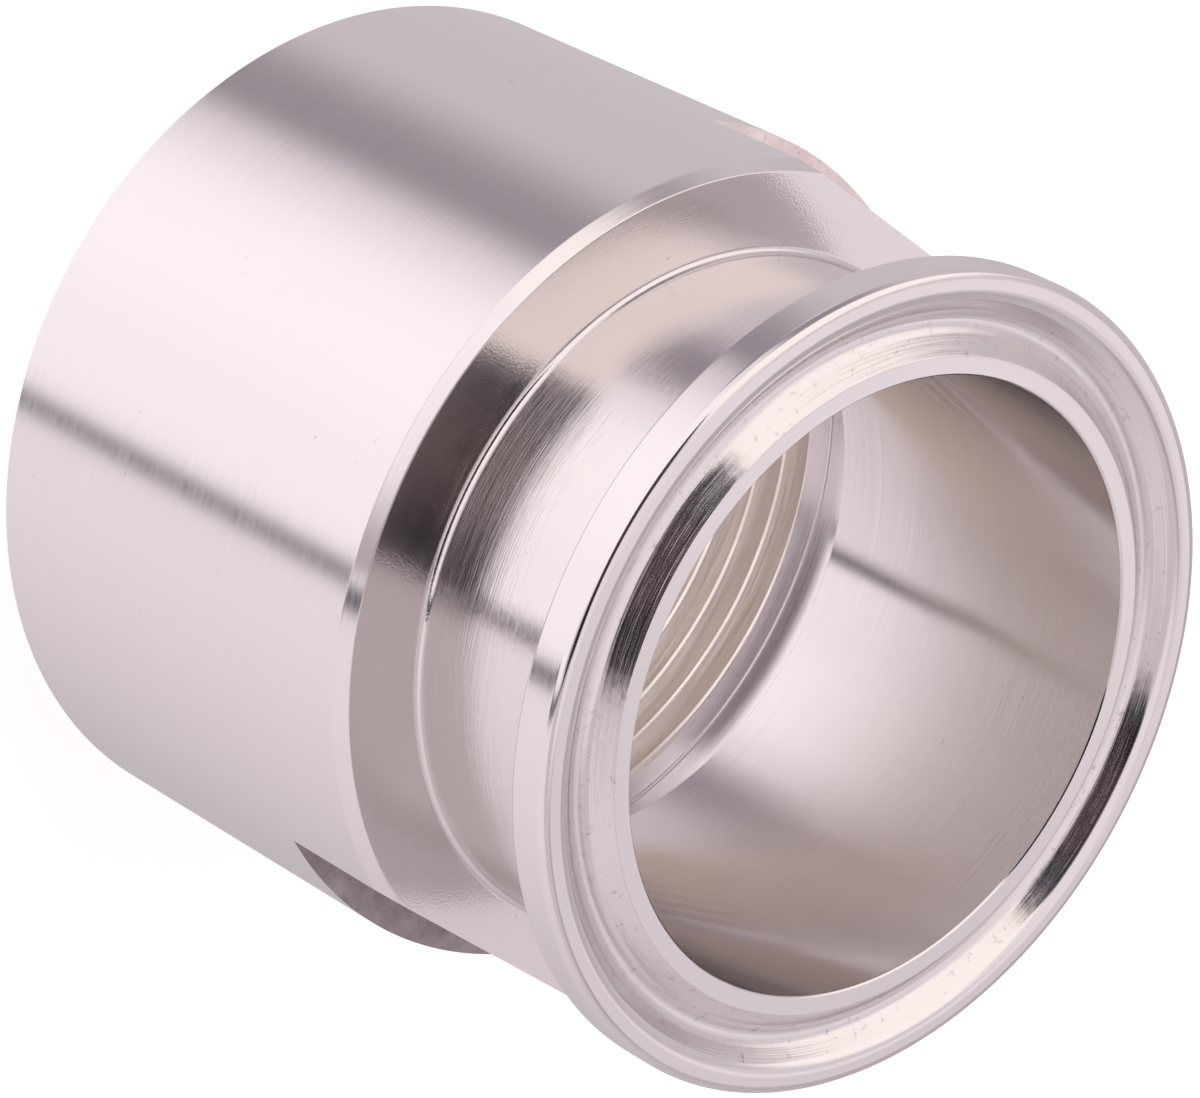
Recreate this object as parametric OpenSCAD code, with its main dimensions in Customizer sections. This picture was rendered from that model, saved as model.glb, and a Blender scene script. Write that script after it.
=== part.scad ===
// Sanitary clamp threaded adapter, turned from one bar of stainless steel.
// A clamp flange with a gasket groove and a 20 degree back bevel sits on a plain neck. Below the neck is a
// thicker body with two wrench flats. The tube bore opens into a relief groove, and from there a larger hole,
// tapped from the far end, leads out.
// The part stands on the flat end of its body: z = 0 there, +Z along the axis to the clamp face, millimetres.
// The wrench flats face +X and -X.

/* [Clamp flange] */
// Outer diameter of the clamp flange
flange_d = 50.5; // [49:0.1:55]
// Thickness of the flange at its rim, before the back bevel starts
rim_t = 2.8; // [2:0.1:4]
// Slope of the flange's back face, measured from square to the axis
bevel_angle = 20; // [15:1:30]
// Radius of the rim's edge at the clamp face
rim_front_r = 0.6; // [0.1:0.05:0.7]
// Radius of the rim's edge at the back bevel
rim_back_r = 0.3; // [0.1:0.05:0.6]
// Diameter of the circle that the bottom of the gasket groove runs along
groove_d = 43.8; // [43.4:0.1:44]
// Depth of the gasket groove
groove_depth = 1.3; // [1:0.05:1.4]
// Radius of the groove's round bottom
groove_bottom_r = 1.05; // [0.8:0.05:1.2]
// Slope of the groove's walls, measured from the clamp face
groove_wall_angle = 45; // [44:1:50]
// Radius of the groove's outer lip
groove_lip_r = 1.1; // [0.3:0.05:1.2]

/* [Tube bore] */
// Diameter of the tube bore
bore_d = 38; // [30:0.5:39]
// Size of the edge break where the bore meets the clamp face
bore_front_c = 0.1; // [0.05:0.05:0.4]
// Size of the edge break where the bore opens into the relief groove
bore_back_c = 0.2; // [0.1:0.1:1]

/* [Neck] */
// Diameter of the neck between the flange and the body
neck_d = 42.1; // [40.4:0.1:43.2]
// Radius of the fillet at the foot of the neck
neck_foot_r = 0.45; // [0.2:0.05:1]
// Radius of the fillet between the neck and the flange's back face
neck_head_r = 1.2; // [0.4:0.1:2]

/* [Body] */
// Outer diameter of the body
body_d = 53.2; // [52:0.2:62]
// Length from the threaded end to the clamp face
length = 49.7; // [46:0.5:70]
// Distance from the clamp face down to the shoulder of the body
shoulder_drop = 16.4; // [12:0.2:20]
// Height of the shoulder's chamfer along the axis
shoulder_c_h = 0.75; // [0.3:0.05:1.5]
// Width of the shoulder's chamfer across the axis
shoulder_c_w = 0.6; // [0.3:0.05:1.5]
// Size of the edge break round the threaded end
end_c = 0.4; // [0.1:0.1:1]

/* [Wrench flats] */
// Distance across the two wrench flats
flats_af = 49.1; // [45:0.1:51.5]
// Length of the flats, measured from the shoulder
flats_len = 8.5; // [6:0.5:12]

/* [Tapped hole] */
// Diameter of the hole drilled for the pipe tap
tap_drill_d = 43.8; // [41:0.1:45]
// Length of the tapped wall, from the threaded end to the relief groove
tapped_len = 18.9; // [14:0.1:20]
// Diameter of the relief groove that the thread runs out into
relief_d = 47.4; // [46:0.1:47.8]
// Depth of the relief groove's far side, from the threaded end
relief_depth = 25.1; // [22:0.1:28]
// Diameter of the countersink at the mouth
countersink_d = 48.8; // [46:0.1:50]

/* [Hidden] */
flange_r = flange_d / 2;
groove_r = groove_d / 2;
bore_r = bore_d / 2;
neck_r = neck_d / 2;
body_r = body_d / 2;
tap_r = tap_drill_d / 2;
relief_r = relief_d / 2;
countersink_r = countersink_d / 2;
// The countersink's sides stand at 45 degrees, so its depth is the difference of the radii.
countersink_h = countersink_r - tap_r;

shoulder_z = length - shoulder_drop;
rim_back_z = length - rim_t;
// The bevel falls from the rim's back edge to the neck.
bevel_h = (flange_r - neck_r) * tan(bevel_angle);
bevel_foot_z = rim_back_z - bevel_h;
// The groove's two walls would meet this far below the clamp face, under its round bottom.
groove_point = groove_depth + groove_bottom_r * (1 / cos(groove_wall_angle) - 1);
// Half the distance between the walls at the clamp face
groove_half_w = groove_point / tan(groove_wall_angle);
// Overlap of a cutting shape past the surface that it cuts through
cut = 1;
// Number of sides of circles in previews; the solids themselves are round
fine = 180;

// Area between two walls that meet in a corner and an arc that touches both. The walls leave the corner along
// angles a and b, with a < b. In a hollow corner it is what a fillet fills, on an outer corner what rounding takes.
module corner_web(corner, a, b, r) {
    half = (b - a) / 2;
    leg = r / tan(half);
    centre = corner + r / sin(half) * [cos(a + half), sin(a + half)];
    difference() {
        polygon([
            corner,
            corner + leg * [cos(a), sin(a)],
            centre,
            corner + leg * [cos(b), sin(b)]
        ]);
        translate(centre) circle(r = r, $fn = fine);
    }
}

// Straight runs of the half section, in radius and height, anticlockwise from the inner edge of the threaded end.
module straight_section() {
    polygon([
        [countersink_r, 0],
        [body_r - end_c, 0],
        [body_r, end_c],
        [body_r, shoulder_z - shoulder_c_h],
        [body_r - shoulder_c_w, shoulder_z],
        [neck_r, shoulder_z],
        [neck_r, bevel_foot_z],
        [flange_r, rim_back_z],
        [flange_r, length],
        [bore_r + bore_front_c, length],
        [bore_r, length - bore_front_c],
        [bore_r, relief_depth + bore_back_c],
        [bore_r + bore_back_c, relief_depth],
        [relief_r, relief_depth],
        [relief_r, tapped_len],
        [tap_r, tapped_len],
        [tap_r, countersink_h]
    ]);
}

// Section of the gasket groove: straight walls that slope to a round bottom.
module groove_section() {
    point = [groove_r, length - groove_point];
    top_half_w = groove_half_w + cut / tan(groove_wall_angle);
    difference() {
        polygon([
            point,
            [groove_r + top_half_w, length + cut],
            [groove_r - top_half_w, length + cut]
        ]);
        corner_web(point, groove_wall_angle, 180 - groove_wall_angle, groove_bottom_r);
    }
}

// The half section with its fillets, its rounded rim and the gasket groove with its rounded lip.
module adapter_section() {
    difference() {
        union() {
            straight_section();
            corner_web([neck_r, shoulder_z], 0, 90, neck_foot_r);
            corner_web([neck_r, bevel_foot_z], -90, bevel_angle, neck_head_r);
        }
        corner_web([flange_r, rim_back_z], 90, 180 + bevel_angle, rim_back_r);
        corner_web([flange_r, length], 180, 270, rim_front_r);
        groove_section();
        corner_web([groove_r + groove_half_w, length], groove_wall_angle - 180, 0, groove_lip_r);
    }
}

// Material milled away beside one flat, on the +X side.
module flat_cut() {
    translate([flats_af / 2, -body_d / 2 - cut, shoulder_z - flats_len])
        cube([body_d, body_d + 2 * cut, flats_len + cut]);
}

// The whole adapter: a turned body with two opposite flats milled back from its shoulder.
module adapter() {
    color([0.83, 0.81, 0.80])
    difference() {
        rotate_extrude($fn = fine) adapter_section();
        flat_cut();
        mirror([1, 0, 0]) flat_cut();
    }
}

adapter();
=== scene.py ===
"""Sanitary clamp threaded adapter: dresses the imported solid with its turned, milled and tapped surfaces
and sets it in a plain studio. All lengths in this file are metres unless a name says otherwise."""

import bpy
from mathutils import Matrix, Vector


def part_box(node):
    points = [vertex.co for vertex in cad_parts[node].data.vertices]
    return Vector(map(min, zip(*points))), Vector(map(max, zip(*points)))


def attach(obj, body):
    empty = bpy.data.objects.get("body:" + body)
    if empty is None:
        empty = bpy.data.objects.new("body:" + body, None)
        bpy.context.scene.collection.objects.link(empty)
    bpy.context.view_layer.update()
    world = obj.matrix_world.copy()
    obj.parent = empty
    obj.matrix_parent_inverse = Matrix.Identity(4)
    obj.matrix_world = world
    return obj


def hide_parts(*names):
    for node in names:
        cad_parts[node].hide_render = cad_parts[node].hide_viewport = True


bl_info = {
    "name": "Clamp threaded adapter",
    "version": (1, 0, 0),
    "blender": (4, 5, 0),
    "location": "3D View > Sidebar > Adapter",
    "description": "Turned steel adapter with a clamp flange, a neck, wrench flats and a tapped hole",
    "category": "Add Mesh",
}

from math import acos, ceil, cos, hypot, pi, radians, sin, sqrt, tan

import bmesh
import bpy
import numpy as np
from bpy.props import FloatProperty, FloatVectorProperty, PointerProperty
from mathutils import Matrix, Vector

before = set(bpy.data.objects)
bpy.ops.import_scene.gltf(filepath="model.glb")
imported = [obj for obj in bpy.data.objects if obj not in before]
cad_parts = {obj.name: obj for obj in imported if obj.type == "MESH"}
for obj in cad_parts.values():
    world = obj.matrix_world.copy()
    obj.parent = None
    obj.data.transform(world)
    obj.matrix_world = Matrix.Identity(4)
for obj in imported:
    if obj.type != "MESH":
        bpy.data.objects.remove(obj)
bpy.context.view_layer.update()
LOWEST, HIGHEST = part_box("adapter")
MM = 0.001

# Columns of quads across one wrench flat, and from there to the other flat.
FLAT_COLUMNS, SIDE_COLUMNS = 46, 134
COLUMNS = 2 * (FLAT_COLUMNS + SIDE_COLUMNS)
# Rows of the thread's grid from one crest to the next.
ROWS_TO_A_PITCH = 10
# Largest step round a rounded corner, and the turn from face to face above which an edge stays sharp.
ARC_STEP = radians(11)
SHARP_EDGE = radians(19)
# Points nearer to each other than this are one point.
SAME_POINT = 2e-7
# Differences below this come from rounding of numbers.
TINY = 1e-9

# Finishes of the one steel piece, in the order of its material slots.
# The two slots after RELIEF hold the milled flats: the one that faces +X is tinted darker as painted shade,
# the one that faces -X paler as painted light.
BODY, SHOULDER, NECK, FLANGE, GROOVE, BORE, RELIEF, MILLED, PAINTED_LIGHT_FLAT, TAPPED = range(10)


# ---------------------------------------------------------------- settings


def length_setting(name, description, millimetres):
    """A length in metres whose default is given in millimetres."""
    return FloatProperty(
        name=name,
        description=description,
        default=millimetres * MM,
        min=0.0,
        precision=5,
        unit="LENGTH",
        subtype="DISTANCE",
    )


def colour_setting(name, description, code):
    """A colour whose default is an sRGB hex code."""
    return FloatVectorProperty(
        name=name,
        description=description,
        default=linear(code)[:3],
        min=0.0,
        max=4.0,
        size=3,
        subtype="COLOR",
    )


def linear(code):
    """Linear RGBA of an sRGB hex code such as #C8C4C0."""
    parts = [int(code[i : i + 2], 16) / 255 for i in (1, 3, 5)]
    values = [p / 12.92 if p <= 0.04045 else ((p + 0.055) / 1.055) ** 2.4 for p in parts]
    return (*values, 1.0)


class AdapterSizes(bpy.types.PropertyGroup):
    flange_diameter: length_setting("Flange diameter", "Outer diameter of the clamp flange", 50.5)
    rim_thickness: length_setting("Rim thickness", "Thickness of the flange at its rim", 2.8)
    bevel_angle: FloatProperty(
        name="Bevel angle",
        description="Slope of the flange's back face from square to the axis",
        default=radians(20),
        subtype="ANGLE",
    )
    rim_front_radius: length_setting("Rim front radius", "Rounding at the clamp face", 0.6)
    rim_back_radius: length_setting("Rim back radius", "Rounding at the back bevel", 0.3)
    groove_diameter: length_setting("Groove diameter", "Circle that the groove's bottom runs along", 43.8)
    groove_depth: length_setting("Groove depth", "Depth of the gasket groove", 1.3)
    groove_bottom_radius: length_setting("Groove bottom", "Radius of the groove's bottom", 1.05)
    groove_wall_angle: FloatProperty(
        name="Groove wall angle",
        description="Slope of the groove's walls from the clamp face",
        default=radians(45),
        subtype="ANGLE",
    )
    groove_lip_radius: length_setting("Groove lip", "Rounding of the groove's outer lip", 1.1)
    bore_diameter: length_setting("Bore diameter", "Diameter of the tube bore", 38.0)
    bore_front_break: length_setting("Bore front break", "Edge break at the clamp face", 0.1)
    bore_back_break: length_setting("Bore back break", "Edge break at the relief groove", 0.2)
    neck_diameter: length_setting("Neck diameter", "Diameter of the neck", 42.1)
    neck_foot_radius: length_setting("Neck foot radius", "Fillet at the foot of the neck", 0.45)
    neck_head_radius: length_setting("Neck head radius", "Fillet under the flange", 1.2)
    body_diameter: length_setting("Body diameter", "Outer diameter of the body", 53.2)
    overall_length: FloatProperty(
        name="Length",
        description="Length from the threaded end to the clamp face, taken from the frame",
        default=HIGHEST[2] - LOWEST[2],
        precision=5,
        unit="LENGTH",
        subtype="DISTANCE",
    )
    shoulder_drop: length_setting("Shoulder drop", "Distance from the clamp face to the shoulder", 16.4)
    shoulder_break_height: length_setting("Chamfer height", "Height of the shoulder's chamfer", 0.75)
    shoulder_break_width: length_setting("Chamfer width", "Width of the shoulder's chamfer", 0.6)
    end_break: length_setting("End break", "Edge break round the threaded end", 0.4)
    across_flats: length_setting("Across flats", "Distance across the two wrench flats", 49.1)
    flats_length: length_setting("Flats length", "Length of the flats from the shoulder", 8.5)
    drill_diameter: length_setting("Drill diameter", "Hole drilled for the pipe tap", 43.8)
    tapped_length: length_setting("Tapped length", "Height from the mouth to the relief groove", 18.9)
    relief_diameter: length_setting("Relief diameter", "Groove that the thread runs out into", 47.4)
    relief_depth: length_setting("Relief depth", "Height of the relief groove's far side", 25.1)
    relief_corner: length_setting("Relief corner", "Corner that the grooving tool leaves", 0.2)
    countersink_diameter: length_setting("Countersink diameter", "Countersink at the mouth", 48.8)
    edge_radius: length_setting("Edge radius", "Rounding that deburring leaves on sharp edges", 0.08)


class ThreadSizes(bpy.types.PropertyGroup):
    pitch: length_setting("Pitch", "Distance between crests, 11.5 to the inch", 25.4 / 11.5)
    mouth_root_diameter: length_setting("Root diameter", "Thread's largest diameter at the mouth", 48.16)
    root_cut: FloatProperty(
        name="Root cut",
        description="Height cut off the sharp root, as a share of the pitch",
        default=0.033,
    )
    crest_cut: FloatProperty(
        name="Crest cut",
        description="Height cut off the sharp crest, as a share of the pitch",
        default=0.10,
    )
    start_turn: FloatProperty(
        name="Start",
        description="Where the crest stands at the mouth, in turns from +X",
        default=0.24,
        min=0.0,
        max=1.0,
    )


class SteelColours(bpy.types.PropertyGroup):
    turned: colour_setting("Turned body", "Tint of the turned body", "#E6E1E0")
    fine_turned: colour_setting("Fine-turned neck", "Tint of the neck and the shoulder", "#E3DDDC")
    polished: colour_setting("Polished flange", "Tint of the clamp flange", "#E5E0DF")
    groove: colour_setting("Groove", "Tint of the gasket groove", "#E5DFDE")
    bored: colour_setting("Bore", "Tint of the bore", "#E8E3E3")
    relief: colour_setting("Relief groove", "Tint of the relief groove", "#F6F2F3")
    # The two milled flats are one finish in two tints: the flat that faces +X is darker as painted shade, the
    # flat that faces -X paler as painted light.
    milled: colour_setting("Flat with painted shade", "Tint of the milled flat that faces +X", "#A49A99")
    clean: colour_setting("Flat with painted light", "Tint of the milled flat that faces -X", "#F0E3DF")
    # The thread's tint is paler than the rest of the steel as painted light; its warmth stands for cutting
    # oil.
    tapped: colour_setting("Tapped wall", "Tint of the thread, warm with cutting oil", "#FAF2EB")
    stain: colour_setting("Stain", "Tint of fine stains and pits", "#7A6C66")


class StudioSettings(bpy.types.PropertyGroup):
    view_azimuth: FloatProperty(
        name="View azimuth",
        description="Direction of the camera round the axis, from +X",
        default=radians(-86.50),
        subtype="ANGLE",
    )
    view_elevation: FloatProperty(
        name="View elevation",
        description="Height of the camera above the horizon",
        default=radians(43.54),
        subtype="ANGLE",
    )
    view_roll: FloatProperty(
        name="View roll",
        description="Turn of the camera about its own line of sight",
        default=radians(117.62),
        subtype="ANGLE",
    )
    view_distance: length_setting("View distance", "Distance from the camera to its aim point", 346.14)
    lens: FloatProperty(
        name="Lens",
        description="Focal length in millimetres on a 36 mm wide sensor",
        default=181.31,
        min=1.0,
    )
    floor_radius: length_setting("Floor radius", "Radius of the pale round floor", 4000.0)
    floor: colour_setting("Floor", "Colour of the floor", "#FAFAFA")


# ---------------------------------------------------------------- the piece's section


def rounded_run(corners):
    """Profile through corners of radius, height, rounding and the finish of the run that follows.

    A corner with a rounding r is replaced by the arc of radius r that touches both runs, which starts
    r / tan(half the angle between them) from the corner. An arc that would take more than its share of the
    shorter run gets a smaller radius. A ring stands just outside each end of the arc, so that the arc's
    curved shading doesn't leak into the straight runs."""
    points, finishes = [], []
    hold = 0.05 * MM
    share_of_run = 0.45
    for i, (radius, height, rounding, finish) in enumerate(corners):
        here = np.array((radius, height))
        if rounding <= 0 or i in (0, len(corners) - 1):
            points.append(here[None])
            finishes += [finish]
            continue
        back = np.array(corners[i - 1][:2]) - here
        ahead = np.array(corners[i + 1][:2]) - here
        most = share_of_run * min(hypot(*back), hypot(*ahead))
        back, ahead = back / hypot(*back), ahead / hypot(*ahead)
        half = acos(np.clip(back @ ahead, -1, 1)) / 2
        leg = min(rounding / tan(half), most)
        arc_radius = leg * tan(half)
        middle = (back + ahead) / hypot(*(back + ahead))
        centre = here + middle * arc_radius / sin(half)
        start, end = here + back * leg - centre, here + ahead * leg - centre
        turn = pi - 2 * half
        steps = max(3, ceil(turn / ARC_STEP))
        t = np.linspace(0, 1, steps + 1)[:, None]
        arc = centre + (np.sin((1 - t) * turn) * start + np.sin(t * turn) * end) / sin(turn)
        pad = min(hold, most - leg)
        if pad > 0:
            arc = np.vstack((here + back * (leg + pad), arc, here + ahead * (leg + pad)))
        points.append(arc)
        last = corners[i - 1][3]
        finishes += [last] * (len(points[-1]) - 1) + [finish]
    return np.vstack(points), np.array(finishes)


def adapter_run(s):
    """Corners of the half section, from the mouth's outer edge up the outside, over the clamp face, down the
    bore and round the relief groove to the ledge where the thread ends. The gasket groove's walls would meet
    below its round bottom, further down than its depth by its radius times (1 / cos(slope) - 1)."""
    top = s.overall_length
    shoulder = top - s.shoulder_drop
    flange, neck, bore = s.flange_diameter / 2, s.neck_diameter / 2, s.bore_diameter / 2
    body, groove, relief = s.body_diameter / 2, s.groove_diameter / 2, s.relief_diameter / 2
    bevel_foot = top - s.rim_thickness - (flange - neck) * tan(s.bevel_angle)
    edge = s.edge_radius
    point = s.groove_depth + s.groove_bottom_radius * (1 / cos(s.groove_wall_angle) - 1)
    half = point / tan(s.groove_wall_angle)
    return [
        (s.countersink_diameter / 2, 0, 0, BODY),
        (body - s.end_break, 0, edge, BODY),
        (body, s.end_break, edge, BODY),
        (body, shoulder - s.flats_length, 0, MILLED),
        (body, shoulder - s.flats_length, 0, BODY),
        (body, shoulder - s.shoulder_break_height, edge, FLANGE),
        (body - s.shoulder_break_width, shoulder, edge, SHOULDER),
        (neck, shoulder, s.neck_foot_radius, NECK),
        (neck, bevel_foot, s.neck_head_radius, FLANGE),
        (flange, top - s.rim_thickness, s.rim_back_radius, FLANGE),
        (flange, top, s.rim_front_radius, FLANGE),
        (groove + half, top, s.groove_lip_radius, GROOVE),
        (groove, top - point, s.groove_bottom_radius, GROOVE),
        (groove - half, top, edge, FLANGE),
        (bore + s.bore_front_break, top, edge / 2, FLANGE),
        (bore, top - s.bore_front_break, edge / 2, BORE),
        (bore, s.relief_depth + s.bore_back_break, edge, BORE),
        (bore + s.bore_back_break, s.relief_depth, edge, RELIEF),
        (relief, s.relief_depth, s.relief_corner, RELIEF),
        (relief, s.tapped_length, s.relief_corner, RELIEF),
        (s.drill_diameter / 2, s.tapped_length, 0, TAPPED),
    ]


def angles_round(corner):
    """Angles of the columns round the axis, for each corner half-angle given: equal steps across each flat,
    from -corner to corner, and equal steps from there to the other flat, half a turn on."""
    corner = np.asarray(corner, float)[:, None]
    across = np.linspace(-1, 1, FLAT_COLUMNS, endpoint=False)
    between = np.linspace(0, 1, SIDE_COLUMNS, endpoint=False)
    half = np.hstack((corner * across, corner + (pi - 2 * corner) * between))
    return np.hstack((half, half + pi))


def thread_radius(s, t, height, angle):
    """Radius of the tapped wall at a height and an angle. Across one pitch it rises evenly from crest to
    root and falls again, a 60 degree groove whose tips are cut flat by the root's and the crest's cut. The
    wall narrows by 1 in 32 with height, and is never less than the drilled hole or the 45 degree
    countersink."""
    phase = height / t.pitch - angle / (2 * pi) - t.start_turn
    depth = 1 - np.abs(2 * (phase % 1) - 1)
    sharp_height = sqrt(3) / 2 * t.pitch
    root = t.mouth_root_diameter / 2 - height / 32
    sharp_crest = root + t.root_cut * t.pitch - sharp_height
    wall = np.clip(sharp_crest + sharp_height * depth, sharp_crest + t.crest_cut * t.pitch, root)
    return np.maximum(np.maximum(wall, s.drill_diameter / 2), s.countersink_diameter / 2 - height)


def turned_grid(s, t):
    """Rings of the section carried round the axis. Between the flats' lower end and the shoulder a point's
    radius is the smaller of the section's own and half the distance across flats over the cosine of its
    angle. The last ring, on the relief groove's ledge, has the thread's own radius."""
    run, finish = rounded_run(adapter_run(s))
    half_flat = s.across_flats / 2
    shoulder = s.overall_length - s.shoulder_drop
    low = shoulder - s.flats_length
    order = np.arange(len(run))
    first = np.flatnonzero(np.isclose(run[:, 1], low))[1]
    last = np.flatnonzero(np.isclose(run[:, 1], shoulder) & (run[:, 0] > half_flat))[-1]
    cut = (order >= first) & (order <= last)
    widest = acos(half_flat / (s.body_diameter / 2))
    corner = np.where(cut, np.arccos(np.minimum(1, half_flat / np.maximum(run[:, 0], half_flat))), widest)
    angle = angles_round(corner)
    flat_radius = half_flat / np.maximum(np.abs(np.cos(angle)), TINY)
    radius = np.where(cut[:, None], np.minimum(run[:, :1], flat_radius), run[:, :1])
    radius[-1] = thread_radius(s, t, s.tapped_length, angle[-1])
    height = np.broadcast_to(run[:, 1:], radius.shape)
    on_flat = cut[:, None] & (radius < run[:, :1] - TINY)
    length = np.concatenate(((0,), np.cumsum(np.hypot(*np.diff(run, axis=0).T))))
    return radius, height, angle, finish, on_flat, length


def tapped_grid(s, t):
    """Rows that climb with the thread, ten to a pitch, at its tips and evenly up its flanks: a row's height
    is the pitch times its turn plus the angle over a full turn, held between the mouth and the ledge."""
    crest, root = (share / sqrt(3) for share in (t.crest_cut, t.root_cut))
    within = np.array((-crest, crest, 0.16, 0.27, 0.38, 0.5 - root, 0.5 + root, 0.62, 0.73, 0.84))
    turns = int(ceil(s.tapped_length / t.pitch)) + 2
    turn = (np.arange(-2, turns)[:, None] + within).ravel()[::-1]
    widest = acos(s.across_flats / s.body_diameter)
    angle = np.broadcast_to(angles_round((widest,)), (len(turn), COLUMNS))
    height = np.clip(t.pitch * (turn[:, None] + t.start_turn + angle / (2 * pi)), 0, s.tapped_length)
    radius = thread_radius(s, t, height, angle)
    side = np.abs(np.diff(turn)) * t.pitch * 2
    length = np.concatenate(((0,), np.cumsum(side)))
    return radius, height, angle, length


def ring_faces(rows, columns, shift=0):
    """Quads between neighbouring rows of a grid that closes round the axis, and which of them have all
    their rows. Where the grid climbs, the last column joins the first one a whole turn higher, which is
    `shift` rows further on."""
    row, column = np.meshgrid(np.arange(rows - 1), np.arange(columns), indexing="ij")
    step = np.where(column == columns - 1, shift, 0)
    right = (column + 1) % columns
    quads = np.stack(
        (
            row * columns + column,
            (row + step) * columns + right,
            (row + 1 + step) * columns + right,
            (row + 1) * columns + column,
        ),
        axis=-1,
    )
    inside = (row + step >= 0) & (row + 1 + step < rows)
    return quads, inside


def adapter_mesh(s, t):
    """The whole closed surface: turned rings and the tapped wall, joined where their rings meet. Also the
    finish of each face and its corners' place on the turning map."""
    radius, height, angle, finish, on_flat, length = turned_grid(s, t)
    rows, columns = radius.shape
    turned = np.stack((radius * np.cos(angle), radius * np.sin(angle), height), axis=-1).reshape(-1, 3)
    quads, _ = ring_faces(rows, columns)
    # The quads of a flat are those with a side on it, but not the shoulder's. The second half of the columns
    # holds the flat that faces -X.
    flat = on_flat[:-1] & on_flat[1:]
    flat = flat | np.roll(flat, -1, axis=1)
    own = finish[:-1, None]
    milled = ((own == MILLED) | flat) & (own != SHOULDER)
    # The first half of the columns takes the darker tint, painted shade on the flat that faces +X; the second
    # half takes the paler tint, painted light on the flat that faces -X.
    cutter = np.where(np.arange(columns) < columns // 2, MILLED, PAINTED_LIGHT_FLAT)
    slot = np.where(milled, cutter, own)
    turn_share = (np.arange(columns)[None] + np.array((0, 1, 1, 0))[:, None]) / columns
    lengths = np.stack((length[:-1], length[:-1], length[1:], length[1:]), axis=-1)
    faces = [quads.reshape(-1, 4)]
    slots = [slot.reshape(-1)]
    along = [np.repeat(lengths[:, None], columns, axis=1).reshape(-1, 4)]
    around = [np.repeat(turn_share.T[None], rows - 1, axis=0).reshape(-1, 4)]

    radius, height, angle, wall = tapped_grid(s, t)
    rows, columns = radius.shape
    tapped = np.stack((radius * np.cos(angle), radius * np.sin(angle), height), axis=-1).reshape(-1, 3)
    quads, inside = ring_faces(rows, columns, -ROWS_TO_A_PITCH)
    corner_heights = height.reshape(-1)[np.where(inside[..., None], quads, 0)]
    low, high = corner_heights.min(axis=-1), corner_heights.max(axis=-1)
    keep = inside & (high > TINY) & (low < s.tapped_length - TINY)
    faces.append(quads[keep] + len(turned))
    slots.append(np.full(int(keep.sum()), TAPPED))
    lengths = length[-1] + np.stack((wall[:-1], wall[:-1], wall[1:], wall[1:]), axis=-1)
    along.append(np.repeat(lengths[:, None], columns, axis=1)[keep])
    around.append(np.repeat(turn_share.T[None], rows - 1, axis=0)[keep])

    # Points of the tapped grid past the mouth or the ledge belong to no face and are left out.
    used, corners = np.unique(np.vstack(faces), return_inverse=True)
    points = np.vstack((turned, tapped))[used]
    turning = np.stack((np.vstack(around), np.vstack(along) / MM), axis=-1)
    return points, corners.reshape(-1, 4), np.concatenate(slots), turning


def mesh_from(name, points, faces, slots, turning):
    """A Blender mesh of quads with a finish per face and the turning map: share of a turn, and millimetres
    along the section. Points that coincide are merged, and edges of more than SHARP_EDGE stay sharp."""
    mesh = bpy.data.meshes.new(name)
    mesh.vertices.add(len(points))
    mesh.vertices.foreach_set("co", points.astype(np.float32).ravel())
    mesh.loops.add(faces.size)
    mesh.loops.foreach_set("vertex_index", faces.astype(np.int32).ravel())
    mesh.polygons.add(len(faces))
    mesh.polygons.foreach_set("loop_start", np.arange(0, faces.size, 4, dtype=np.int32))
    mesh.polygons.foreach_set("material_index", slots.astype(np.int32))
    mesh.polygons.foreach_set("use_smooth", np.ones(len(faces), bool))
    layer = mesh.uv_layers.new(name="turning")
    layer.data.foreach_set("uv", turning.astype(np.float32).ravel())
    mesh.update(calc_edges=True)
    shape = bmesh.new()
    shape.from_mesh(mesh)
    bmesh.ops.remove_doubles(shape, verts=shape.verts, dist=SAME_POINT)
    bmesh.ops.dissolve_degenerate(shape, edges=shape.edges, dist=SAME_POINT)
    shape.to_mesh(mesh)
    shape.free()
    mesh.validate()
    mesh.set_sharp_from_angle(angle=SHARP_EDGE)
    return mesh


# ---------------------------------------------------------------- finishes


def put(tree, kind, inputs=None, **settings):
    """Adds one node: settings are its own properties, inputs are values or sockets for its inputs."""
    node = tree.nodes.new(kind)
    for name, value in settings.items():
        setattr(node, name, value)
    for key, value in (inputs or {}).items():
        if isinstance(value, bpy.types.NodeSocket):
            tree.links.new(value, node.inputs[key])
        else:
            node.inputs[key].default_value = value
    return node


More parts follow.
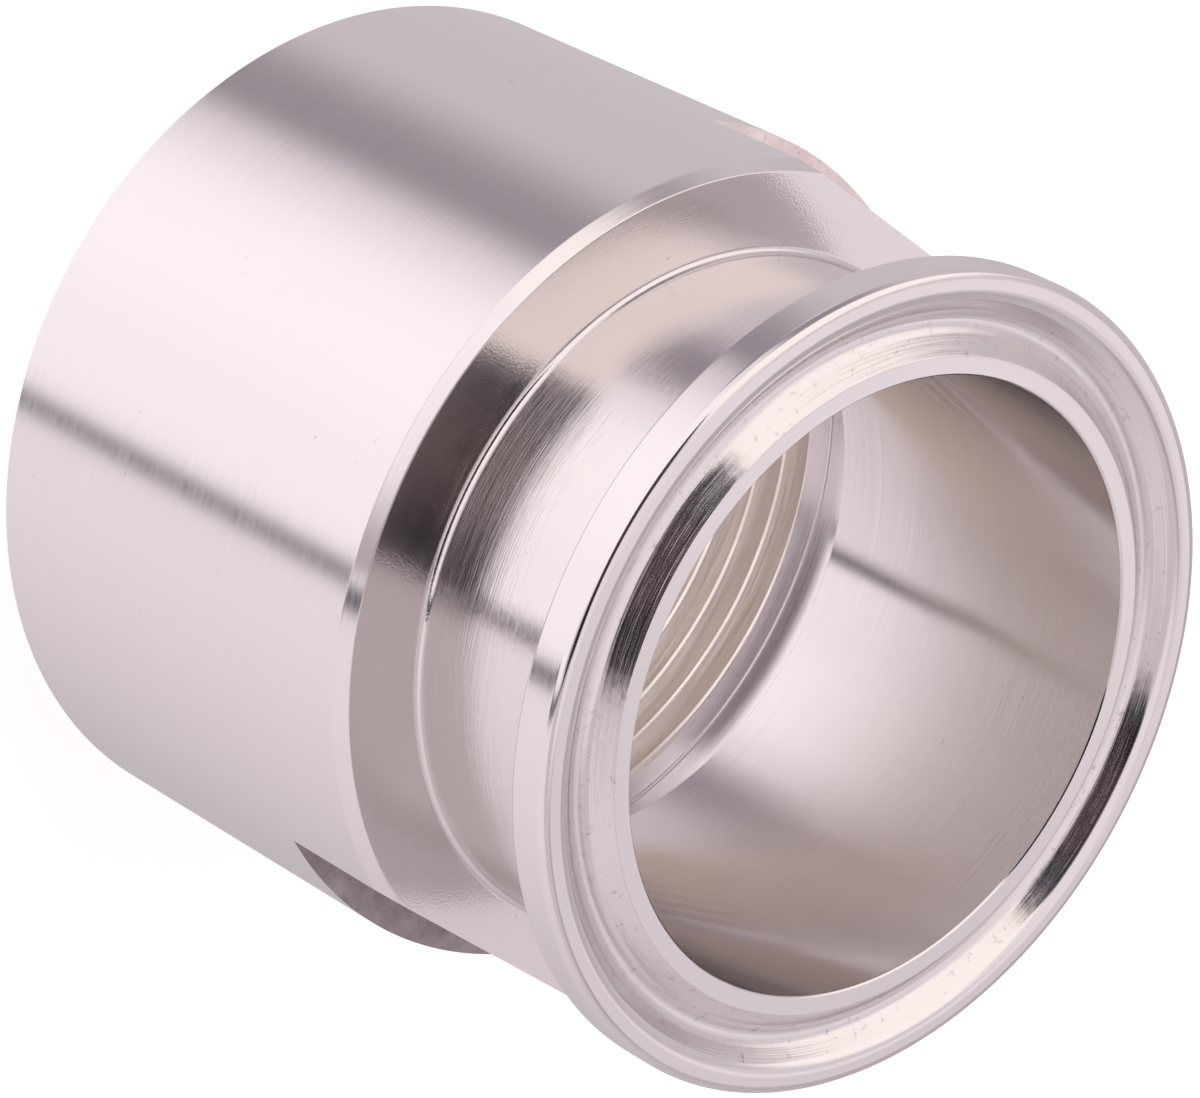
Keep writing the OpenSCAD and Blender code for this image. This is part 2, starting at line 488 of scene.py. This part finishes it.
def steel(
    name,
    tint,
    stain,
    roughness,
    anisotropy,
    line_mm,
    line_depth_mm,
    arc_mm,
    wave_mm,
    wave_depth_mm,
    unevenness,
    spot_share,
    lean=0.0,
):
    """Stainless steel with the marks of the tool that cut it.

    Lines: noise that changes every `line_mm` along the section and holds for about `arc_mm` round the
    piece. Waves: slower noise, `wave_mm` across, which bends mirror images a little, as on hand-polished
    metal. Both tilt the surface. `unevenness` lets the lines change the roughness by that share, and
    `spot_share` says how much of the surface small darker stains and pits take, each about 0.7 mm across.
    `lean` is how much the surface falls away for each step along the section, too little to measure but
    enough to move a mirror image."""
    material = bpy.data.materials.new(name)
    material.use_nodes = True
    tree = material.node_tree
    tree.nodes.clear()
    place = put(tree, "ShaderNodeTexCoord").outputs["Object"]
    turning = put(tree, "ShaderNodeUVMap", uv_map="turning")
    section = put(tree, "ShaderNodeSeparateXYZ", {0: turning.outputs[0]}).outputs["Y"]
    across = put(tree, "ShaderNodeMath", {0: section, 1: 1 / line_mm}, operation="MULTIPLY").outputs[0]
    flat_scale = (1 / (arc_mm * MM), 1 / (arc_mm * MM), 0)
    flattened = put(tree, "ShaderNodeMapping", {"Vector": place, "Scale": flat_scale}).outputs[0]
    flat = put(tree, "ShaderNodeSeparateXYZ", {0: flattened}).outputs
    lines_at = put(tree, "ShaderNodeCombineXYZ", {"X": flat["X"], "Y": flat["Y"], "Z": across}).outputs[0]
    line_noise = {"Vector": lines_at, "Scale": 1.0, "Detail": 3.0, "Roughness": 0.6}
    lines = put(tree, "ShaderNodeTexNoise", line_noise).outputs[0]
    wave_noise = {"Vector": place, "Scale": 1 / (wave_mm * MM), "Detail": 1.0, "Roughness": 0.4}
    waves = put(tree, "ShaderNodeTexNoise", wave_noise).outputs[0]
    spot_mm = 0.7
    spot_noise = {"Vector": place, "Scale": 1 / (spot_mm * MM), "Detail": 4.0, "Roughness": 0.7}
    spots = put(tree, "ShaderNodeTexNoise", spot_noise).outputs[0]

    falling = {0: section, 1: -lean / wave_depth_mm, 2: waves}
    slow = put(tree, "ShaderNodeMath", falling, operation="MULTIPLY_ADD").outputs[0]
    wavy = put(tree, "ShaderNodeBump", {"Height": slow, "Distance": wave_depth_mm * MM}).outputs[0]
    lined = {"Height": lines, "Distance": line_depth_mm * MM, "Normal": wavy}
    normal = put(tree, "ShaderNodeBump", lined).outputs[0]
    smooth, dull = roughness * (1 - unevenness), roughness * (1 + unevenness)
    rough = put(tree, "ShaderNodeMapRange", {"Value": lines, 1: 0.3, 2: 0.7, 3: smooth, 4: dull}).outputs[0]
    spot_limits = {"Value": spots, 1: 0.70 - 0.12 * spot_share, 2: 0.78, 3: 0.0, 4: 0.55}
    spotted = put(tree, "ShaderNodeMapRange", spot_limits).outputs[0]
    two_tints = {0: spotted, 6: (*tint, 1.0), 7: (*stain, 1.0)}
    colour = put(tree, "ShaderNodeMix", two_tints, data_type="RGBA").outputs[2]
    tangent = put(tree, "ShaderNodeTangent", direction_type="RADIAL", axis="Z").outputs[0]
    surface = put(
        tree,
        "ShaderNodeBsdfPrincipled",
        {
            "Base Color": colour,
            "Metallic": 1.0,
            "Roughness": rough,
            "Anisotropic": anisotropy,
            "Anisotropic Rotation": 0.25,
            "Tangent": tangent,
            "Normal": normal,
        },
    )
    put(tree, "ShaderNodeOutputMaterial", {"Surface": surface.outputs[0]})
    return material


def finishes(c):
    """The ten finishes of the piece, in the order of its slots."""
    stain = tuple(c.stain)
    cutter_marks = {
        "roughness": 0.36,
        "anisotropy": 0.1,
        "line_mm": 0.3,
        "line_depth_mm": 0.0200,
        "arc_mm": 2,
        "wave_mm": 0.5,
        "wave_depth_mm": 0.018,
        "unevenness": 0.4,
        "spot_share": 1.0,
    }
    return [
        # Stainless steel, turned: soft sheen with faint rings, sharp along a ring and spread across it.
        steel(
            "turned_steel_body",
            tuple(c.turned),
            stain,
            roughness=0.20,
            anisotropy=0.8,
            line_mm=0.16,
            line_depth_mm=0.0024,
            arc_mm=14,
            wave_mm=3.0,
            wave_depth_mm=0.004,
            unevenness=0.15,
            spot_share=0.1,
        ),
        # Stainless steel, faced and polished: a mirror round the axis, brushed softer from rim to neck.
        steel(
            "faced_steel_shoulder",
            tuple(c.fine_turned),
            stain,
            roughness=0.12,
            anisotropy=0.9,
            line_mm=0.10,
            line_depth_mm=0.0022,
            arc_mm=5,
            wave_mm=0.16,
            wave_depth_mm=0.0045,
            unevenness=0.15,
            spot_share=0.2,
        ),
        # Stainless steel, brushed on the lathe: sharp along a ring, streaked across it by fine scratches.
        steel(
            "brushed_steel_neck",
            tuple(c.fine_turned),
            stain,
            roughness=0.11,
            anisotropy=0.9,
            line_mm=0.09,
            line_depth_mm=0.0110,
            arc_mm=6,
            wave_mm=1.2,
            wave_depth_mm=0.005,
            unevenness=0.4,
            spot_share=0.2,
            lean=0.030,
        ),
        # Stainless steel, turned and buffed: the smoothest surface, for the gasket to seal on.
        steel(
            "buffed_steel_flange",
            tuple(c.polished),
            stain,
            roughness=0.13,
            anisotropy=0.2,
            line_mm=0.12,
            line_depth_mm=0.0016,
            arc_mm=25,
            wave_mm=3.0,
            wave_depth_mm=0.003,
            unevenness=0.2,
            spot_share=0.1,
        ),
        # Stainless steel, form-turned: rings of the groove tool and a few pits.
        steel(
            "form_turned_steel_groove",
            tuple(c.groove),
            stain,
            roughness=0.15,
            anisotropy=0.6,
            line_mm=0.12,
            line_depth_mm=0.0170,
            arc_mm=12,
            wave_mm=0.9,
            wave_depth_mm=0.008,
            unevenness=0.3,
            spot_share=0.9,
        ),
        # Stainless steel, bored: mirror images stay sharp round the wall and run soft along it.
        steel(
            "bored_steel_wall",
            tuple(c.bored),
            stain,
            roughness=0.17,
            anisotropy=0.95,
            line_mm=0.18,
            line_depth_mm=0.0016,
            arc_mm=20,
            wave_mm=3.0,
            wave_depth_mm=0.003,
            unevenness=0.15,
            spot_share=0.1,
        ),
        # Stainless steel, grooved deep inside with a long tool: duller than the bore.
        steel(
            "grooved_steel_relief",
            tuple(c.relief),
            stain,
            roughness=0.22,
            anisotropy=0.75,
            line_mm=0.15,
            line_depth_mm=0.0030,
            arc_mm=12,
            wave_mm=2.0,
            wave_depth_mm=0.003,
            unevenness=0.2,
            spot_share=0.3,
        ),
        # Stainless steel, milled: dull, with crossing cutter marks, tinted darker as painted shade on the
        # flat that faces +X.
        steel("milled_steel_painted_shade_flat", tuple(c.milled), stain, **cutter_marks),
        # Stainless steel, milled: as dull, tinted pale as painted light on the flat that faces -X.
        steel("milled_steel_painted_light_flat", tuple(c.clean), stain, **cutter_marks),
        # Stainless steel, tapped: fine torn lines that follow the thread, a little warm with cutting oil, and
        # tinted paler than the rest of the steel as painted light.
        steel(
            "tapped_steel_thread",
            tuple(c.tapped),
            stain,
            roughness=0.43,
            anisotropy=0.3,
            line_mm=0.12,
            line_depth_mm=0.0020,
            arc_mm=6,
            wave_mm=2.0,
            wave_depth_mm=0.003,
            unevenness=0.3,
            spot_share=0.3,
        ),
    ]


# ---------------------------------------------------------------- studio

# Panels of the tent round the piece, below and above the height where its roof starts, and the tones of the
# camera's dark card. Each has a name, its left edge with the width over which it fades there, its right edge
# with its fade, and its colour. Directions are degrees round the table from the camera's side. A later panel
# stands in front of the earlier ones.
WALL_PANELS = (
    ("pale back corner", -150, 28, -112, 24, "#C3BCC1"),
    ("broad grey panel", -77, 29, -66.5, 12, "#8F8890"),
    ("bright front", -40, 12, 33, 12, "#F8F1F6"),
    ("brightest cloth", -30, 14, -14, 30, "#FFF7FA"),
    ("thin dark gap", 38.0, 4, 39.8, 4, "#46424B"),
)
ROOF_PANELS = (
    ("paler back", -178, 6, -170, 12, "#E6DEE3"),
    ("dim corner", -146, 14, -136, 16, "#D2CCD1"),
    ("grey cloth", 44, 4, 124, 16, "#C6BDC0"),
    ("dim far cloth", 138, 12, 148, 18, "#ABA3A4"),
)
CARD_TONES = (
    ("slate", -60, 4, -28, 16, "#34323B"),
    ("near black", 26, 22, 60, 4, "#100E15"),
)
# Patches of light and shade: width and height, each as two edges with their fades.
SHADED_CORNER = ((30, 26, 31, 4), (24, 8, 34, 2))
WINDOW = ((-118, 22, -42, 3), (22.5, 6, 60, 10))
CAMERA_CARD = ((-40.8, 2.0, 38.6, 2.0), (36, 2, 66, 2))
# Heights between which the wall turns into the roof, and the roof into its paler top.
ROOF_EDGE = (34.5, 37.5)
ROOF_TOP = (60.0, 70.0)
TENT_STRENGTH = 1.25
# Strength of the light that the floor itself gives towards the camera.
FLOOR_GLOW = 0.45
# The point on the piece that the camera looks at.
CAMERA_AIM = Vector((1.13, -12.45, 36.55)) * MM


def panel_share(tree, angle, left, left_fade, right, right_fade):
    """1 between two edges and 0 outside them: it rises before the left edge and falls after the right one."""
    rising = {"Value": angle, 1: left - left_fade, 2: left}
    falling = {"Value": angle, 1: right, 2: right + right_fade, 3: 1.0, 4: 0.0}
    rise = put(tree, "ShaderNodeMapRange", rising, interpolation_type="SMOOTHSTEP").outputs[0]
    fall = put(tree, "ShaderNodeMapRange", falling, interpolation_type="SMOOTHSTEP").outputs[0]
    return put(tree, "ShaderNodeMath", {0: rise, 1: fall}, operation="MULTIPLY").outputs[0]


def hung(tree, azimuth, cloth, panels):
    """The cloth's colour with panels hung in front of it, one after the other."""
    for name, left, left_fade, right, right_fade, code in panels:
        share = panel_share(tree, azimuth, left, left_fade, right, right_fade)
        over = {0: share, 6: cloth, 7: linear(code)}
        cloth = put(tree, "ShaderNodeMix", over, data_type="RGBA", label=name).outputs[2]
    return cloth


def with_patch(tree, azimuth, elevation, cloth, patch, colour):
    """The cloth's colour with a patch over it, whose share is that of its width times that of its height."""
    width, height = patch
    edges = {0: panel_share(tree, azimuth, *width), 1: panel_share(tree, elevation, *height)}
    share = put(tree, "ShaderNodeMath", edges, operation="MULTIPLY").outputs[0]
    over = {0: share, 6: cloth, 7: colour}
    return put(tree, "ShaderNodeMix", over, data_type="RGBA").outputs[2]


def studio_world(settings):
    """A pale tent, brightest on the camera's side and dimmer behind the piece, with a roof of its own colours
    and the dark shape of the camera in it. Directions are turned so that the camera's side is at 0."""
    world = bpy.data.worlds.new("studio_tent")
    world.use_nodes = True
    tree = world.node_tree
    tree.nodes.clear()
    place = put(tree, "ShaderNodeTexCoord").outputs["Generated"]
    turn = {"Vector": place, "Angle": -settings.view_azimuth}
    turned = put(tree, "ShaderNodeVectorRotate", turn, rotation_type="Z_AXIS").outputs[0]
    axes = put(tree, "ShaderNodeSeparateXYZ", {0: turned}).outputs
    azimuth = put(tree, "ShaderNodeMath", {0: axes["Y"], 1: axes["X"]}, operation="ARCTAN2").outputs[0]
    azimuth = put(tree, "ShaderNodeMath", {0: azimuth}, operation="DEGREES").outputs[0]
    elevation = put(tree, "ShaderNodeMath", {0: axes["Z"]}, operation="ARCSINE").outputs[0]
    elevation = put(tree, "ShaderNodeMath", {0: elevation}, operation="DEGREES").outputs[0]
    # Between 42 and 30 degrees below the horizon, where the bore looks, the front of the tent is further
    # off: its panels stand closer together, drawn towards one direction by a share of their distance to it.
    towards, share = 10.0, 0.18
    far_off = panel_share(tree, elevation, -42.0, 0.7, -30, 10)
    from_middle = put(tree, "ShaderNodeMath", {0: azimuth, 1: -towards}, operation="ADD").outputs[0]
    drawn_in = put(tree, "ShaderNodeMath", {0: from_middle, 1: share}, operation="MULTIPLY").outputs[0]
    nearer = {0: drawn_in, 1: far_off, 2: azimuth}
    drawn = put(tree, "ShaderNodeMath", nearer, operation="MULTIPLY_ADD").outputs[0]

    side = panel_share(tree, azimuth, -30, 160, 30, 160)
    cloths = {0: side, 6: linear("#AFA8AD"), 7: linear("#E8E0E5")}
    wall = put(tree, "ShaderNodeMix", cloths, data_type="RGBA").outputs[2]
    wall = hung(tree, drawn, wall, WALL_PANELS)
    wall = with_patch(tree, azimuth, elevation, wall, SHADED_CORNER, linear("#AFA6AE"))
    roof = hung(tree, azimuth, linear("#D4CDD2"), ROOF_PANELS)
    rise = {"Value": elevation, 1: ROOF_TOP[0], 2: ROOF_TOP[1]}
    top = put(tree, "ShaderNodeMapRange", rise).outputs[0]
    roof = put(tree, "ShaderNodeMix", {0: top, 6: roof, 7: linear("#E4DDE1")}, data_type="RGBA").outputs[2]
    rise = {"Value": elevation, 1: ROOF_EDGE[0], 2: ROOF_EDGE[1]}
    high = put(tree, "ShaderNodeMapRange", rise).outputs[0]
    tent = put(tree, "ShaderNodeMix", {0: high, 6: wall, 7: roof}, data_type="RGBA").outputs[2]

    # The window stands tall on the left. The camera and its stand are a dark card in front of it, slate on
    # the left, brown in the middle and near black on the right.
    tent = with_patch(tree, azimuth, elevation, tent, WINDOW, linear("#FFF6F4"))
    card = hung(tree, azimuth, linear("#3F2D30"), CARD_TONES)
    tent = with_patch(tree, azimuth, elevation, tent, CAMERA_CARD, card)
    background = put(tree, "ShaderNodeBackground", {"Color": tent, "Strength": TENT_STRENGTH}).outputs[0]
    put(tree, "ShaderNodeOutputWorld", {"Surface": background})
    return world


def floor_finish(settings):
    """Matt white board. It takes the piece's shadow, and a little light of its own towards the camera lifts
    it to white without adding light to the piece."""
    material = bpy.data.materials.new("matt_white_board")
    material.use_nodes = True
    tree = material.node_tree
    tree.nodes.clear()
    board = put(tree, "ShaderNodeBsdfDiffuse", {"Color": (*settings.floor, 1.0)}).outputs[0]
    path = put(tree, "ShaderNodeLightPath").outputs
    rays = {0: path["Is Camera Ray"], 1: path["Is Glossy Ray"], 2: path["Is Transmission Ray"]}
    seen = put(tree, "ShaderNodeMath", {0: rays[0], 1: rays[1]}, operation="ADD").outputs[0]
    seen = put(tree, "ShaderNodeMath", {0: seen, 1: rays[2]}, operation="ADD").outputs[0]
    lift = put(tree, "ShaderNodeMath", {0: seen, 1: FLOOR_GLOW}, operation="MULTIPLY").outputs[0]
    glow = put(tree, "ShaderNodeEmission", {"Color": (1, 1, 1, 1), "Strength": lift}).outputs[0]
    both = put(tree, "ShaderNodeAddShader", {0: board, 1: glow}).outputs[0]
    put(tree, "ShaderNodeOutputMaterial", {"Surface": both})
    return material


def floor_mesh(radius):
    """A flat round board: a ring of points at radius times (cos, sin) of equal angles, and one point in its
    middle that closes it with triangles."""
    sides = 96
    angle = np.linspace(0, 2 * pi, sides, endpoint=False)
    ring = np.stack((radius * np.cos(angle), radius * np.sin(angle), np.zeros(sides)), axis=-1)
    points = np.vstack((ring, [(0, 0, 0)]))
    here = np.arange(sides)
    faces = np.stack((here, (here + 1) % sides, np.full(sides, sides)), axis=-1)
    mesh = bpy.data.meshes.new("studio_floor")
    mesh.from_pydata(points.tolist(), [], faces.tolist())
    return mesh


# ---------------------------------------------------------------- operators and panel


class ADAPTER_OT_turn_piece(bpy.types.Operator):
    """Make the turned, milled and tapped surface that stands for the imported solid"""

    bl_idname = "adapter.turn_piece"
    bl_label = "Turn the adapter"

    def execute(self, context):
        scene = context.scene
        mesh = mesh_from("adapter_steel", *adapter_mesh(scene.adapter_sizes, scene.adapter_thread))
        for material in finishes(scene.adapter_colours):
            mesh.materials.append(material)
        piece = bpy.data.objects.new("adapter_steel", mesh)
        scene.collection.objects.link(piece)
        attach(piece, "root")
        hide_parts("adapter")
        return {"FINISHED"}


class ADAPTER_OT_set_stage(bpy.types.Operator):
    """Lay the floor, hang the tent and place the camera"""

    bl_idname = "adapter.set_stage"
    bl_label = "Set the studio"

    def execute(self, context):
        scene = context.scene
        settings = scene.adapter_studio
        floor = bpy.data.objects.new("studio_floor", floor_mesh(settings.floor_radius))
        floor.data.materials.append(floor_finish(settings))
        floor.visible_glossy = False
        floor.visible_shadow = False
        scene.collection.objects.link(floor)
        scene.world = studio_world(settings)

        azimuth, elevation, roll = settings.view_azimuth, settings.view_elevation, settings.view_roll
        back = Vector((cos(elevation) * cos(azimuth), cos(elevation) * sin(azimuth), sin(elevation)))
        level = Vector((-sin(azimuth), cos(azimuth), 0))
        upright = back.cross(level)
        right = level * cos(roll) + upright * sin(roll)
        up = upright * cos(roll) - level * sin(roll)
        camera = bpy.data.objects.new("studio_camera", bpy.data.cameras.new("studio_camera"))
        turn = Matrix((right, up, back)).transposed().to_4x4()
        camera.matrix_world = Matrix.Translation(CAMERA_AIM + back * settings.view_distance) @ turn
        camera.data.lens = settings.lens
        camera.data.sensor_width = 36
        camera.data.sensor_fit = "HORIZONTAL"
        camera.data.clip_start = 0.01
        camera.data.clip_end = 50
        scene.collection.objects.link(camera)
        scene.camera = camera
        scene.view_settings.view_transform = "Standard"
        return {"FINISHED"}


class ADAPTER_PT_steps(bpy.types.Panel):
    """Steps that build the adapter and its studio"""

    bl_idname = "ADAPTER_PT_steps"
    bl_label = "Clamp threaded adapter"
    bl_space_type = "VIEW_3D"
    bl_region_type = "UI"
    bl_category = "Adapter"

    def draw(self, context):
        for step in (ADAPTER_OT_turn_piece, ADAPTER_OT_set_stage):
            self.layout.operator(step.bl_idname)


GROUPS = (
    ("adapter_sizes", AdapterSizes),
    ("adapter_thread", ThreadSizes),
    ("adapter_colours", SteelColours),
    ("adapter_studio", StudioSettings),
)
CLASSES = (ADAPTER_OT_turn_piece, ADAPTER_OT_set_stage, ADAPTER_PT_steps)


def register():
    for name, group in GROUPS:
        bpy.utils.register_class(group)
        setattr(bpy.types.Scene, name, PointerProperty(type=group))
    for each in CLASSES:
        bpy.utils.register_class(each)


def unregister():
    for each in reversed(CLASSES):
        bpy.utils.unregister_class(each)
    for name, group in reversed(GROUPS):
        delattr(bpy.types.Scene, name)
        bpy.utils.unregister_class(group)


def main():
    register()
    bpy.ops.adapter.turn_piece()
    bpy.ops.adapter.set_stage()


if __name__ == "__main__":
    main()
